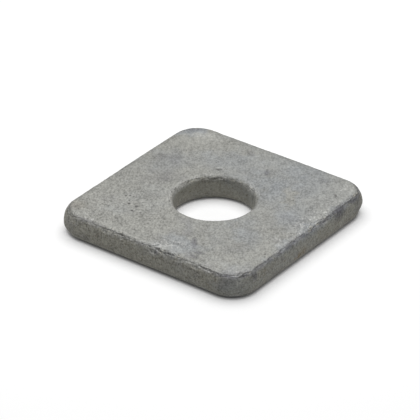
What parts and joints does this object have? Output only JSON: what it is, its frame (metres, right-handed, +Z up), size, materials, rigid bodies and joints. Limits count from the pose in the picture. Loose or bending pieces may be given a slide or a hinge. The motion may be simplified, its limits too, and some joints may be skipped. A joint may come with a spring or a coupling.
{
  "type": "square plate washer",
  "caption": "Square galvanised steel plate washer with rounded corners, rolled top edges and a central clearance hole that spreads a bolt's load.",
  "frame": {"origin": "middle of the underside, on the axis of the bolt hole", "axes": "+Z up through the bolt hole towards the face with the rolled edges, +X and +Y square to two of the sides"},
  "size_m": [0.05, 0.05, 0.006],
  "materials": {
    "galvanised_steel": "hot-dip galvanised, dull matt grey with a fine grain"
  },
  "bodies": {
    "root": {"washer_plate": "galvanised_steel"}
  },
  "joints": []
}
